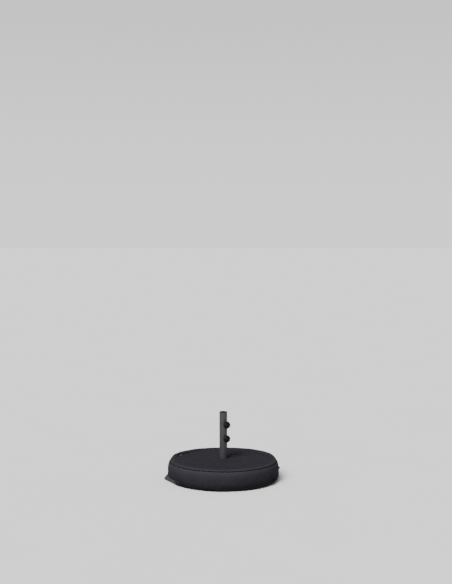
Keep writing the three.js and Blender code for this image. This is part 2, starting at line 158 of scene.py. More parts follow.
def shades(nodes, colour, spread, scale, detail=4.0):
    """A colour that wanders by +-spread at the given noise scale."""
    light = tuple(min(1.0, c * (1 + spread)) for c in colour[:3]) + (1.0,)
    dark = tuple(c * (1 - spread) for c in colour[:3]) + (1.0,)
    fac = nodes.ramp(nodes.noise(scale, detail), 0, 1, 0.3, 0.7)
    return nodes.mix(fac, dark, light)


def paint_seam_light_and_shade(n, colour):
    """Paints light and shade into the cloth's colour: a painted highlight along the top seam's raised edges,
    painted shade in the seam's crease, and painted shade that darkens the cloth towards the ground.
    """
    place = n.add("ShaderNodeSeparateXYZ", vector=n.coordinates())
    x, y, z = place.outputs
    radius = n.math("SQRT", n.math("ADD", n.math("MULTIPLY", x, x), n.math("MULTIPLY", y, y)))
    across, up = n.math("SUBTRACT", radius, SEAM_LINE_R), n.math("SUBTRACT", z, SEAM_LINE_Z)
    off = n.math("SQRT", n.math("ADD", n.math("MULTIPLY", across, across), n.math("MULTIPLY", up, up)))
    # painted highlight, in patches, on the raised edges either side of the seam
    patchy = n.ramp(n.noise(9, 4), 0.75, 1.25, 0.3, 0.7)
    painted_highlight = n.math("MULTIPLY", n.ramp(off, 1.0, 0.0, 0.004, 0.032), patchy)
    out = n.mix(n.math("MULTIPLY", painted_highlight, 0.09), colour, srgb("59595e"))
    # painted shade in the seam's crease
    out = n.mix(n.ramp(off, 0.88, 0.0, 0.002, 0.005), out, srgb("060608"))
    # painted shade: the cloth darkens towards the ground
    low = n.math("ADD", z, n.math("MULTIPLY", n.noise(14, 5), 0.02))
    return n.mix(n.ramp(low, 0.78, 0.0, 0.015, 0.095), out, srgb("0b0b0d"))


def woven(name, hex_colour, thread, relief=0.35, roughness=0.82, gloss=0.2, paint_light=None):
    """Plain-weave cloth. The UV map is in metres, and thread is the distance between two threads.
    A given painter function paints light and shade onto the finished colour."""
    n = Nodes(name)
    uv = n.add("ShaderNodeUVMap").outputs[0]
    split = n.add("ShaderNodeSeparateXYZ", vector=uv)
    across, along = split.outputs[0], split.outputs[1]
    waves = []
    for axis in (across, along):
        turn = n.math("MULTIPLY", axis, math.pi / thread)
        waves.append(n.math("ABSOLUTE", n.math("SINE", turn)))
    sines = [n.math("SINE", n.math("MULTIPLY", axis, math.pi / thread)) for axis in (across, along)]
    over = n.math("MULTIPLY", *sines)
    warp_up = n.ramp(over, 0, 1, -0.2, 0.2)
    height = n.mix(warp_up, n.add("ShaderNodeCombineXYZ", X=waves[0]).outputs[0],
                   n.add("ShaderNodeCombineXYZ", X=waves[1]).outputs[0])
    height = n.add("ShaderNodeSeparateXYZ", vector=height).outputs[0]
    slub = n.noise(900, 2)
    base = shades(n, srgb(hex_colour), 0.07, 14)
    yarn = n.mix(n.ramp(height, 0.0, 1.0, 0.1, 0.9), srgb(hex_colour, 0.72), base)
    dust = n.mix(n.ramp(n.noise(55, 6, roughness=0.7), 0.0, 0.03, 0.52, 0.8), yarn, srgb("8b8880"))
    fleck = n.mix(n.ramp(slub, 0, 0.3, 0.55, 0.75), dust, srgb(hex_colour, 1.4))
    # paints light and shade into the cloth's colour
    if paint_light:
        fleck = paint_light(n, fleck)
    crease = n.noise(120, 4)
    normal = n.bump(crease, 0.12, 0.002)
    normal = n.bump(height, relief, thread * 0.3, normal)
    rough = n.ramp(n.noise(40, 3), roughness - 0.06, roughness + 0.06, 0.3, 0.7)
    return n.surface(Base_Color=fleck, Roughness=rough, Normal=normal, Specular_IOR_Level=gloss)


def webbing_material(name, hex_colour):
    """Flat polyester webbing: ribs across it with a herringbone of fine yarns. The UV map is in metres."""
    n = Nodes(name)
    uv = n.add("ShaderNodeUVMap").outputs[0]
    split = n.add("ShaderNodeSeparateXYZ", vector=uv)
    along, across = split.outputs[0], split.outputs[1]
    column = n.math("PINGPONG", across, 0.0025)
    slant = n.math("ADD", n.math("MULTIPLY", along, TAU / 0.0016), n.math("MULTIPLY", column, TAU / 0.0022))
    rib = n.math("ABSOLUTE", n.math("SINE", slant))
    base = shades(n, srgb(hex_colour), 0.08, 35)
    colour = n.mix(n.ramp(rib, 0, 1, 0.05, 0.75), srgb(hex_colour, 0.5), base)
    worn = n.mix(n.ramp(n.noise(90, 6, roughness=0.7), 0.0, 0.06, 0.55, 0.8), colour, srgb("8e8e8c"))
    normal = n.bump(n.noise(1200, 2), 0.1, 0.0004)
    normal = n.bump(rib, 0.55, 0.0005, normal)
    return n.surface(Base_Color=worn, Roughness=0.8, Normal=normal, Specular_IOR_Level=0.06)


def thread_material(name, hex_colour):
    n = Nodes(name)
    wave = n.add("ShaderNodeTexWave", vector=n.coordinates(), scale=330.0, distortion=1.0, detail=1.0)
    normal = n.bump(wave.outputs["Fac"], 0.4, 0.0002)
    colour = shades(n, srgb(hex_colour), 0.12, 300)
    return n.surface(Base_Color=colour, Roughness=0.6, Normal=normal, Specular_IOR_Level=0.3)


def powder_coat(name, hex_colour):
    """Satin powder coat with orange peel, fine speckle and a little handling grime."""
    n = Nodes(name)
    base = shades(n, srgb(hex_colour), 0.05, 22)
    speckle = n.mix(n.ramp(n.noise(2600, 1), 0, 0.35, 0.55, 0.75), base, srgb(hex_colour, 1.55))
    grime = n.mix(n.ramp(n.noise(38, 7, roughness=0.7), 0, 0.35, 0.5, 0.85), speckle, srgb("3b3a37"))
    normal = n.bump(n.noise(1500, 2), 0.12, 0.0003)
    normal = n.bump(n.noise(420, 2), 0.1, 0.0006, normal)
    rough = n.ramp(n.noise(60, 5), 0.38, 0.56, 0.3, 0.7)
    return n.surface(Base_Color=grime, Roughness=rough, Normal=normal, Specular_IOR_Level=0.3)


def moulded_plastic(name, hex_colour, roughness=0.5):
    """Black nylon with a spark-eroded grain and worn, slightly polished patches."""
    n = Nodes(name)
    base = shades(n, srgb(hex_colour), 0.1, 60)
    worn = n.mix(n.ramp(n.noise(110, 6, roughness=0.65), 0, 0.3, 0.55, 0.8), base, srgb(hex_colour, 2.2))
    normal = n.bump(n.noise(2300, 2), 0.3, 0.00025)
    rough = n.ramp(n.noise(80, 4), roughness - 0.1, roughness + 0.1, 0.3, 0.7)
    return n.surface(Base_Color=worn, Roughness=rough, Normal=normal, Specular_IOR_Level=0.12)


def plated_metal(name, hex_colour, roughness=0.28):
    """Zinc or nickel plate with faint cloudiness and fine scratches."""
    n = Nodes(name)
    base = shades(n, srgb(hex_colour), 0.08, 90)
    stretched = n.add("ShaderNodeMapping", vector=n.coordinates())
    stretched.inputs["Scale"].default_value = (1, 1, 14)
    scratches = n.noise(900, 3, stretched.outputs[0])
    normal = n.bump(scratches, 0.08, 0.0002)
    rough = n.ramp(n.noise(160, 4), roughness - 0.08, roughness + 0.14, 0.3, 0.7)
    return n.surface(Base_Color=base, Metallic=1.0, Roughness=rough, Normal=normal)


def liner_material(name, hex_colour):
    """Thick liner film over sand: grainy, a little glossy."""
    n = Nodes(name)
    base = shades(n, srgb(hex_colour), 0.12, 30)
    grains = n.mix(n.ramp(n.noise(700, 3), 0, 0.6, 0.5, 0.7), base, srgb("a59572"))
    normal = n.bump(n.noise(260, 5), 0.35, 0.002)
    return n.surface(Base_Color=grains, Roughness=0.42, Normal=normal)


def floor_material():
    n = Nodes("floor")
    colour = shades(n, (0.72, 0.72, 0.72, 1), 0.01, 1.5)
    return n.surface(Base_Color=colour, Roughness=1.0, Specular_IOR_Level=0.0)


M = {
    # the cover cloth carries a painted highlight along its seam and painted shade in the crease and near the
    # ground
    "cover_cloth": woven("cover_cloth", "252429", 0.9 * MM, gloss=0.02, paint_light=paint_seam_light_and_shade),
    "ground_cloth": woven("ground_cloth", "242428", 1.2 * MM, roughness=0.6, gloss=0.35),
    "webbing": webbing_material("webbing", "38383d"),
    # a darker copy of the webbing: painted shade for the handle tucked under the belly
    "shaded_webbing": webbing_material("webbing_painted_shade", "141416"),
    "black_tape": woven("black_tape", "1d1d21", 0.6 * MM, relief=0.5),
    "coil": moulded_plastic("zip_coil_nylon", "1b1b1f", 0.42),
    "thread": thread_material("thread", "2b2a2f"),
    "zip_metal": plated_metal("zip_metal", "86868a", 0.34),
    "tube_paint": powder_coat("tube_paint", "2a2a2a"),
    "foot_paint": powder_coat("foot_paint", "2e2e2e"),
    "zinc": plated_metal("zinc", "b8bcc0", 0.3),
    "black_plastic": moulded_plastic("black_plastic", "0a0a0c"),
    "sand_liner": liner_material("sand_liner", "8a8f86"),
}


# ---------- mesh helpers ----------
def new_object(name, vertices, faces, material, uvs=None, smooth=True):
    """A mesh object. uvs holds one (u, v) in metres for each corner, in the faces' order."""
    mesh = bpy.data.meshes.new(name)
    mesh.from_pydata([tuple(v) for v in vertices], [], [tuple(f) for f in faces])
    if uvs is not None:
        layer = mesh.uv_layers.new(name="metres")
        layer.data.foreach_set("uv", np.asarray(uvs, np.float32).ravel())
    mesh.validate()
    mesh.materials.append(material)
    mesh.polygons.foreach_set("use_smooth", [smooth] * len(mesh.polygons))
    obj = bpy.data.objects.new(name, mesh)
    bpy.context.scene.collection.objects.link(obj)
    return obj


def grid_faces(rows, columns, wrap_rows=False, wrap_columns=False, keep=None):
    """Corner indices of a grid's quads, and each quad's (row, column)."""
    faces, cells = [], []
    for i in range(rows if wrap_rows else rows - 1):
        for j in range(columns if wrap_columns else columns - 1):
            if keep is not None and not keep(i, j):
                continue
            i2, j2 = (i + 1) % rows, (j + 1) % columns
            faces.append((i * columns + j, i * columns + j2, i2 * columns + j2, i2 * columns + j))
            cells.append((i, j))
    return faces, cells


def grid_object(name, points, material, wrap_rows=False, wrap_columns=False, keep=None):
    """A quad mesh through points[rows, columns, 3], with a UV map that measures metres along both ways."""
    rows, columns = points.shape[:2]
    faces, cells = grid_faces(rows, columns, wrap_rows, wrap_columns, keep)
    closed_rows = np.concatenate([points, points[:1]]) if wrap_rows else points
    steps_v = np.linalg.norm(np.diff(closed_rows, axis=0), axis=2).mean(axis=1)
    v = np.concatenate([[0], np.cumsum(steps_v)])
    closed_columns = np.concatenate([points, points[:, :1]], axis=1) if wrap_columns else points
    steps_u = np.linalg.norm(np.diff(closed_columns, axis=1), axis=2).max(axis=0)
    u = np.concatenate([[0], np.cumsum(steps_u)])
    uvs = []
    for i, j in cells:
        uvs.extend([(u[j], v[i]), (u[j + 1], v[i]), (u[j + 1], v[i + 1]), (u[j], v[i + 1])])
    return new_object(name, points.reshape(-1, 3), faces, material, uvs)


def smooth_line(points, count):
    """count points along a Catmull-Rom curve through the given points, evenly spaced by length."""
    points = np.asarray(points, float)
    ends = np.vstack([2 * points[0] - points[1], points, 2 * points[-1] - points[-2]])
    fine = []
    for k in range(len(points) - 1):
        p0, p1, p2, p3 = ends[k : k + 4]
        for t in np.linspace(0, 1, 24, endpoint=False):
            fine.append(0.5 * (2 * p1 + (p2 - p0) * t + (2 * p0 - 5 * p1 + 4 * p2 - p3) * t**2
                               + (3 * p1 - p0 - 3 * p2 + p3) * t**3))
    fine.append(points[-1])
    return resample(np.array(fine), count)


def ring(radius, turns, z):
    """Points about Z. The radius and the height are each one value, or an array that fits the turns."""
    return np.stack(np.broadcast_arrays(radius * np.cos(turns), radius * np.sin(turns), z), axis=-1)


def resample(line, count):
    lengths = np.concatenate([[0], np.cumsum(np.linalg.norm(np.diff(line, axis=0), axis=1))])
    wanted = np.linspace(0, lengths[-1], count)
    return np.stack([np.interp(wanted, lengths, line[:, k]) for k in range(line.shape[1])], axis=1)


def rounded(corners, radius, steps=5, closed=True):
    """A 2-D outline with its corners rounded. A corner may carry its own radius as a third value."""
    out = []
    count = len(corners)
    for k, corner in enumerate(corners):
        p = np.array(corner[:2], float)
        r = corner[2] if len(corner) > 2 else radius
        if not closed and k in (0, count - 1):
            out.append(p)
            continue
        a = np.array(corners[k - 1][:2], float) - p
        b = np.array(corners[(k + 1) % count][:2], float) - p
        cut = min(r, 0.49 * np.linalg.norm(a), 0.49 * np.linalg.norm(b))
        a, b = a / np.linalg.norm(a) * cut, b / np.linalg.norm(b) * cut
        for t in np.linspace(0, 1, steps):
            out.append(p + a * (1 - t) ** 2 + b * t**2)
    return np.array(out)


def lathe(name, profile, material, segments, closed=True):
    """Turns a [radius, height] outline, in metres, about Z."""
    profile = np.asarray(profile, float)
    turns = np.linspace(0, TAU, segments, endpoint=False)
    points = ring(profile[:, :1], turns, profile[:, 1:])
    obj = grid_object(name, points, material, wrap_rows=closed, wrap_columns=True)
    return tidy_poles(obj)


def from_bmesh(name, mesh, material):
    data = bpy.data.meshes.new(name)
    mesh.to_mesh(data)
    mesh.free()
    data.materials.append(material)
    obj = bpy.data.objects.new(name, data)
    bpy.context.scene.collection.objects.link(obj)
    return obj


def tidy_poles(obj):
    """Merges the points that share a place, such as where an outline meets its axis."""
    mesh = bmesh.new()
    mesh.from_mesh(obj.data)
    bmesh.ops.remove_doubles(mesh, verts=mesh.verts, dist=1e-6)
    bmesh.ops.dissolve_degenerate(mesh, edges=mesh.edges, dist=1e-7)
    bmesh.ops.recalc_face_normals(mesh, faces=mesh.faces)
    mesh.to_mesh(obj.data)
    mesh.free()
    return obj


def modified(obj, kind, **values):
    """Applies a modifier to the mesh at once."""
    modifier = obj.modifiers.new(kind, kind)
    for key, value in values.items():
        setattr(modifier, key, value)
    depsgraph = bpy.context.evaluated_depsgraph_get()
    mesh = bpy.data.meshes.new_from_object(obj.evaluated_get(depsgraph))
    obj.modifiers.clear()
    obj.data = mesh
    return obj


def place(obj, body, slot, *nodes):
    """The piece rides on its body and stands for CAD nodes, which it hides. The slot is not used."""
    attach(obj, body)
    if nodes:
        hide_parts(*nodes)
    return obj


def capsules(name, starts, ends, radius, material):
    """Short rounded pieces of thread, each from a start point to an end point."""
    profile = [(0.0, 0.0), (0.6, 0.12), (1.0, 0.35), (1.0, 0.65), (0.6, 0.88), (0.0, 1.0)]
    sides = 6
    vertices, faces = [], []
    for a, b in zip(starts, ends):
        a, b = Vector(a), Vector(b)
        turn = (b - a).to_track_quat("Z", "Y").to_matrix()
        base = len(vertices)
        for scale, t in profile[1:-1]:
            for k in range(sides):
                turned = turn @ Vector((math.cos(TAU * k / sides), math.sin(TAU * k / sides), 0))
                vertices.append(a.lerp(b, t) + turned * radius * scale)
        vertices += [a, b]
        rings = len(profile) - 2
        for i in range(rings - 1):
            for k in range(sides):
                k2 = (k + 1) % sides
                lower, upper = base + i * sides, base + (i + 1) * sides
                faces.append((lower + k, lower + k2, upper + k2, upper + k))
        top = base + (rings - 1) * sides
        start, end = base + rings * sides, base + rings * sides + 1
        for k in range(sides):
            k2 = (k + 1) % sides
            faces.append((base + k2, base + k, start))
            faces.append((top + k, top + k2, end))
    return new_object(name, vertices, faces, material)


# ---------- the cloth cover ----------
FOOT_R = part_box("cover_bottom")[1].x
BELLY_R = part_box("cover_side")[1].x
BELLY_Z = 0.0534
SEAM_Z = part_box("cover_side")[1].z
SLIDER_AT = Vector(JOINTS["pull_flip"]["pos_m"])
ZIP_R = math.hypot(SLIDER_AT.x, SLIDER_AT.y)
ZIP_END = math.atan2(SLIDER_AT.y, SLIDER_AT.x)
ZIP_START = ZIP_END + math.radians(JOINTS["zip_travel"]["range_deg"][0]) - 0.05
CLOTH = 1.4 * MM
CLOTH_STEPS = 8
MOST_MOVED = 1.6 * MM  # how far the cloth run may move a point
COLUMNS = 432
AZIMUTHS = np.linspace(0, TAU, COLUMNS, endpoint=False)

# The top panel in section, from the seam inwards, as [radius, height] in mm: in front, where it is one
# smooth sheet that rolls over the seam, and at the back, where the zip lies in a valley inside a full roll.
CROWN = [(230, 130.4), (180, 130.9), (120, 131.2), (70, 130.8), (42, 130.2), (29.5, 129.4), (25.4, 128.6)]
PANEL_FRONT = [
    (320.4, 116.2), (322.9, 117.4), (323.9, 119.6), (322.9, 121.9), (318.4, 124.4), (307.0, 127.4),
    (292.2, 128.9), (283.8, 129.3), (274, 129.5), (256, 129.9), *CROWN,
]
PANEL_BACK = [
    (320.4, 116.2), (323.2, 118.2), (324.4, 124.0), (321.2, 131.2), (313.0, 135.4), (300.0, 133.6),
    (292.2, 123.0), (283.8, 122.4), (276, 126.0), (256, 129.6), *CROWN,
]
PANEL_STEPS = [3, 3, 4, 5, 8, 8, 3, 5, 7, 9, 9, 9, 8, 5, 4, 2]


def side_profile():
    """The side panel in section, from the hem on the ground up to its shoulder and into the seam."""
    line = []
    fullness = 0.838
    for t in np.linspace(0.02, math.pi / 2, 30):
        r = FOOT_R + (BELLY_R - FOOT_R) * math.sin(t) ** fullness
        line.append((r, BELLY_Z * (1 - math.cos(t) ** fullness)))
    shoulder_r, rise = 0.2734, 0.0868
    t_seam = math.asin(((SEAM_Z - 0.0054 - BELLY_Z) / rise) ** (1 / 0.704))
    for t in np.linspace(0.05, t_seam, 26):
        r = shoulder_r + (BELLY_R - shoulder_r) * math.cos(t) ** 0.704
        line.append((r, BELLY_Z + rise * math.sin(t) ** 0.704))
    tuck = [(325.9, 116.9), (325.0, 117.1), (324.0, 116.8), (322.9, 116.1), (321.8, 115.5), (320.8, 115.0)]
    body = resample(np.array(line), 60)
    return np.vstack([body, np.array(tuck) * MM])


def panel_lines():
    """The top panel's front and back sections with matching rows, in metres."""
    lines = []
    for controls in (PANEL_FRONT, PANEL_BACK):
        fine = smooth_line(controls, 2400)
        marks = [np.argmin(np.linalg.norm(fine - np.array(c), axis=1)) for c in controls]
        rows = []
        for a, b, steps in zip(marks[:-1], marks[1:], PANEL_STEPS):
            rows.append(resample(fine[a : b + 1], steps + 1)[:-1])
        rows.append(fine[-1:])
        lines.append(np.vstack(rows) * MM)
    return lines


def eased(value, start, end):
    """Goes smoothly from 0 at start to 1 at end."""
    t = np.clip((value - start) / (end - start), 0, 1)
    return t * t * (3 - 2 * t)


def zip_share(az):
    """1 along the zip, and 0 round the front, where the top panel is one smooth sheet."""
    middle, half = (ZIP_START + ZIP_END) / 2, (ZIP_END - ZIP_START) / 2
    off = np.abs((az - middle + math.pi) % TAU - math.pi)
    return 1 - eased(off, half + 0.06, half + 0.36)


def cover_points():
    """The cover's surface as [rows, columns, 3], hem to neck, and the number of side rows."""
    side = side_profile()
    front, back = (line[:, None, :] for line in panel_lines())
    share = zip_share(AZIMUTHS)[None, :, None]
    panel = front * (1 - share) + back * share
    section = np.concatenate([np.repeat(side[:, None, :], COLUMNS, axis=1), panel])
    return ring(section[:, :, 0], AZIMUTHS, section[:, :, 1]), len(side)


def surface_normals(points):
    du = np.roll(points, -1, axis=1) - np.roll(points, 1, axis=1)
    dv = np.gradient(points, axis=0)
    normal = np.cross(du, dv)
    return normal / np.maximum(np.linalg.norm(normal, axis=2, keepdims=True), 1e-12)


def field(points, size, seed):
    """Smooth noise from -1 to 1 over the points, with features of about the given size."""
    flat = points.reshape(-1, 3) / size
    values = [noise.noise(Vector(p) + Vector((seed, 3.7 * seed, -seed))) for p in flat]
    return np.array(values).reshape(points.shape[:2])


def lumpy(points, side_rows):
    """Lets the sand show: broad lumps, small dents, and puckers beside the seam."""
    rows = np.arange(len(points))
    from_seam = np.abs(rows - side_rows)[:, None]
    hem = np.clip(rows / 10, 0, 1)[:, None]
    neck = np.clip((len(points) - 1 - rows) / 8, 0, 1)[:, None]
    calm = hem * neck * np.clip(from_seam / 7, 0, 1)
    lift = calm * (0.9 + 1.5 * field(points, 0.11, 1.0) + 0.6 * field(points, 0.035, 4.0))
    waves = np.sin(AZIMUTHS * 88 + 2.5 * np.sin(AZIMUTHS * 7) + 1.8 * np.sin(AZIMUTHS * 3 + 1))
    pucker = waves[None, :] * np.exp(-((from_seam - 6) / 4.5) ** 2) * 0.32
    lift = (lift + pucker) * MM
    return points + surface_normals(points) * lift[:, :, None]


def settle(points, side_rows):
    """Runs the cloth: it is cut a little fuller away from the seam, the hem, neck and zip are held, and the
    sand presses from inside."""
    rows, columns = points.shape[:2]
    faces, _ = grid_faces(rows, columns, wrap_columns=True)
    cloth = new_object("cloth_run", points.reshape(-1, 3), faces, M["cover_cloth"])
    pin = cloth.vertex_groups.new(name="pin")
    shrink = cloth.vertex_groups.new(name="shrink")
    zip_rows = range(side_rows + sum(PANEL_STEPS[:5]) + 2, side_rows + sum(PANEL_STEPS[:8]) - 2)
    for i in range(rows):
        row = list(range(i * columns, (i + 1) * columns))
        if i < 3 or i > rows - 5 or i in zip_rows:
            pin.add(row, 1.0, "REPLACE")
        near_seam = max(0.0, 1 - abs(i - side_rows) / 5)
        shrink.add(row, near_seam, "REPLACE")
    modifier = cloth.modifiers.new("Cloth", "CLOTH")
    settings = modifier.settings
    settings.quality = 5
    settings.mass = 0.25
    settings.tension_stiffness = settings.compression_stiffness = 18
    settings.shear_stiffness = 8
    settings.bending_stiffness = 0.4
    settings.vertex_group_mass = "pin"
    settings.vertex_group_shrink = "shrink"
    settings.shrink_min = -0.004
    settings.shrink_max = 0.0
    settings.use_pressure = True
    settings.uniform_pressure_force = 0.3
    settings.effector_weights.gravity = 0
    modifier.collision_settings.use_collision = False
    scene = bpy.context.scene
    for step in range(1, CLOTH_STEPS + 1):
        scene.frame_set(step)
    depsgraph = bpy.context.evaluated_depsgraph_get()
    evaluated = cloth.evaluated_get(depsgraph).to_mesh()
    moved = np.zeros(rows * columns * 3)
    evaluated.vertices.foreach_get("co", moved)
    bpy.data.objects.remove(cloth)
    scene.frame_set(1)
    shift = moved.reshape(points.shape) - points
    length = np.linalg.norm(shift, axis=2, keepdims=True)
    return points + shift / np.maximum(length, 1e-9) * MOST_MOVED * np.tanh(length / MOST_MOVED)


def make_cover():
    points, side_rows = cover_points()
    points = lumpy(points, side_rows)
    points = settle(points, side_rows)
    points[:, :, 2] = np.maximum(points[:, :, 2], 0.2 * MM)

    side = grid_object("cover_side_cloth", points[:side_rows], M["cover_cloth"], wrap_columns=True)
    modified(side, "SOLIDIFY", thickness=CLOTH, offset=-1)
    place(side, "root", "cover_cloth", "cover_side")

    outer_edge = sum(PANEL_STEPS[:6])
    inner_edge = sum(PANEL_STEPS[:7])
    start, end = ZIP_START, ZIP_END + 0.045

    def kept(i, j):
        az = AZIMUTHS[j]
        return not (outer_edge <= i < inner_edge and start <= az <= end)

    panel = points[side_rows:]
    top = grid_object("cover_top_cloth", panel, M["cover_cloth"], wrap_columns=True, keep=kept)
    modified(top, "SOLIDIFY", thickness=CLOTH, offset=-1)
    place(top, "root", "cover_cloth", "cover_top")
    zip_stitching(panel, outer_edge - 2, inner_edge + 2, start, end)
    return points, side_rows


def along_row(panel, row, az):
    """The point on a row of the panel at an azimuth, between its columns."""
    place_on = (az % TAU) / TAU * COLUMNS
    j = int(place_on)
    t = place_on - j
    return panel[row, j % COLUMNS] * (1 - t) + panel[row, (j + 1) % COLUMNS] * t


def zip_stitching(panel, outer_row, inner_row, start, end):
    """A row of stitches along each edge of the zip's slot."""
    starts, ends = [], []
    normals = surface_normals(panel)
    for row in (outer_row, inner_row):
        az = start
        pitch = 3.4 * MM / ZIP_R
        while az < end:
            lift = along_row(normals, row, az) * 0.1 * MM
            starts.append(along_row(panel, row, az) + lift)
            ends.append(along_row(panel, row, az + pitch * 0.78) + lift)
            az += pitch
    threads = capsules("zip_stitching", starts, ends, 0.35 * MM, M["thread"])
    place(threads, "root", "cover_cloth")


def make_bottom():
    """The cover's bottom: coated cloth that lies flat and turns up a little at its hem."""
    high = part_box("cover_bottom")[1]
    radii = np.concatenate([[0.0], np.linspace(0.02, high.x - 0.004, 30), [high.x - 0.0015, high.x]])
    turns = np.linspace(0, TAU, 144, endpoint=False)
    heights = np.zeros(len(radii))
    heights[-2:] = 0.1 * MM, 0.6 * MM
    points = ring(radii[:, None], turns, heights[:, None])
    bottom = grid_object("cover_bottom_cloth", points, M["ground_cloth"], wrap_columns=True)
    tidy_poles(bottom)
    modified(bottom, "SOLIDIFY", thickness=1.2 * MM, offset=1)
    lowest = min(v.co.z for v in bottom.data.vertices)
    for vertex in bottom.data.vertices:
        vertex.co.z -= lowest
    place(bottom, "root", "ground_cloth", "cover_bottom")


# ---------- the zip ----------
def band_along(name, line, section, material):
    """Sweeps a closed section of (outward, up) points, in metres, along a line of points."""
    line = np.asarray(line, float)
    forward = np.gradient(line, axis=0)
    forward /= np.linalg.norm(forward, axis=1, keepdims=True)
    up = np.array([0.0, 0.0, 1.0])
    outward = np.cross(forward, up)
    outward /= np.linalg.norm(outward, axis=1, keepdims=True)
    section = np.asarray(section, float)
    points = line[None] + section[:, None, :1] * outward[None] + section[:, None, 1:] * up
    obj = grid_object(name, points, material, wrap_rows=True)
    return cap_ends(obj)


def cap_ends(obj):
    """Closes a swept mesh's open ends and turns its faces outwards."""
    mesh = bmesh.new()
    mesh.from_mesh(obj.data)
    edges = [e for e in mesh.edges if e.is_boundary]
    bmesh.ops.holes_fill(mesh, edges=edges, sides=0)
    bmesh.ops.recalc_face_normals(mesh, faces=mesh.faces)
    mesh.to_mesh(obj.data)
    mesh.free()
    return obj


def make_zip():
    for side, node in ((-1, "zip_tape_inner"), (1, "zip_tape_outer")):
        low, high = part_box(node)
        inner = ZIP_R + side * 1.6 * MM
        outer = ZIP_R + side * 11.0 * MM
        half = (high.z - low.z) / 2
        turns = np.linspace(ZIP_START - 0.02, ZIP_END + 0.04, 160)
        line = ring((inner + outer) / 2, turns, (low.z + high.z) / 2)
        width = abs(outer - inner) / 2
        section = rounded([(-width, -half), (width, -half), (width, half), (-width, half)], 0.3 * MM)
        place(band_along(f"{node}_cloth", line, section, M["black_tape"]), "root", "black_tape", node)

    low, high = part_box("zip_coil")
    pitch = 2.3 * MM / ZIP_R
    starts, ends = [], []
    middle = (low.z + high.z) / 2
    count = int((ZIP_END + 0.02 - ZIP_START) / pitch)
    for k in range(count):
        az = ZIP_START + k * pitch
        side = 1 if k % 2 else -1
        for lift in (-0.45, 0.45):
            a = ZIP_R - side * 1.1 * MM
            b = ZIP_R + side * 2.9 * MM
            z = middle + lift * MM
            starts.append((a * math.cos(az), a * math.sin(az), z))
            ends.append((b * math.cos(az), b * math.sin(az), z))
    teeth = capsules("zip_coil_teeth", starts, ends, 0.75 * MM, M["coil"])
    place(teeth, "root", "black_tape", "zip_coil")

    for node in ("zip_stop_right", "zip_stop_left"):
        low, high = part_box(node)
        centre = (Vector(low) + Vector(high)) / 2
        stop = box_shape(f"{node}_crimp", 3.1, 1.5, (high.z - low.z) / MM, 0.4, M["zip_metal"])
        stop.location = centre
        stop.rotation_euler = (0, 0, math.atan2(centre.y, centre.x))
        place(apply_place(stop), "root", "zip_metal", node)


def box_shape(name, half_length, width, height, bevel, material):
    """A rounded block about the origin, sizes in mm."""
    mesh = bmesh.new()
    bmesh.ops.create_cube(mesh, size=1.0)
    bmesh.ops.scale(mesh, vec=(2 * half_length * MM, width * MM, height * MM), verts=mesh.verts)
    bmesh.ops.bevel(mesh, geom=mesh.edges[:], offset=bevel * MM, segments=3, affect="EDGES", profile=0.5)
    obj = from_bmesh(name, mesh, material)
    obj.data.polygons.foreach_set("use_smooth", [True] * len(obj.data.polygons))
    return obj


def apply_place(obj):
    """Moves an object's placement into its mesh."""
    obj.data.transform(obj.matrix_basis)
    obj.matrix_basis = Matrix.Identity(4)
    return obj


def extruded(name, outline, holes, low, high, bevel, material):
    """A flat shape with holes, extruded in Z from low to high, all in metres, with rounded edges."""
    mesh = bmesh.new()
    loops = [np.asarray(outline)] + [np.asarray(h) for h in holes]
    edges = []
    for loop in loops:
        verts = [mesh.verts.new((x, y, low)) for x, y in loop]
        edges += [mesh.edges.new((verts[k], verts[(k + 1) % len(verts)])) for k in range(len(verts))]
    bmesh.ops.triangle_fill(mesh, edges=edges, use_beauty=True)
    bmesh.ops.dissolve_limit(mesh, angle_limit=0.001, verts=mesh.verts, edges=mesh.edges)
    grown = bmesh.ops.extrude_face_region(mesh, geom=mesh.faces[:])
    top = [g for g in grown["geom"] if isinstance(g, bmesh.types.BMVert)]
    bmesh.ops.translate(mesh, vec=(0, 0, high - low), verts=top)
    bmesh.ops.recalc_face_normals(mesh, faces=mesh.faces)
    if bevel:
        level = [e for e in mesh.edges if abs(e.verts[0].co.z - e.verts[1].co.z) < 1e-9]
        sharp = [e for e in level if e.calc_face_angle(0) > 0.9]
        bmesh.ops.bevel(mesh, geom=sharp, offset=bevel, segments=3, affect="EDGES", profile=0.5)
    return auto_smooth(from_bmesh(name, mesh, material), 35)


def auto_smooth(obj, degrees):
    """Smooth shading except over edges sharper than the angle."""
    mesh = bmesh.new()
    mesh.from_mesh(obj.data)
    for face in mesh.faces:
        face.smooth = True
    for edge in mesh.edges:
        edge.smooth = edge.calc_face_angle(0) < math.radians(degrees)
    mesh.to_mesh(obj.data)
    mesh.free()
    return obj


def joined(name, pieces):
    """Puts several mesh objects into one."""
    mesh = bmesh.new()
    for piece in pieces:
        mesh.from_mesh(piece.data)
    obj = from_bmesh(name, mesh, pieces[0].data.materials[0])
    for piece in pieces:
        bpy.data.objects.remove(piece)
    return obj


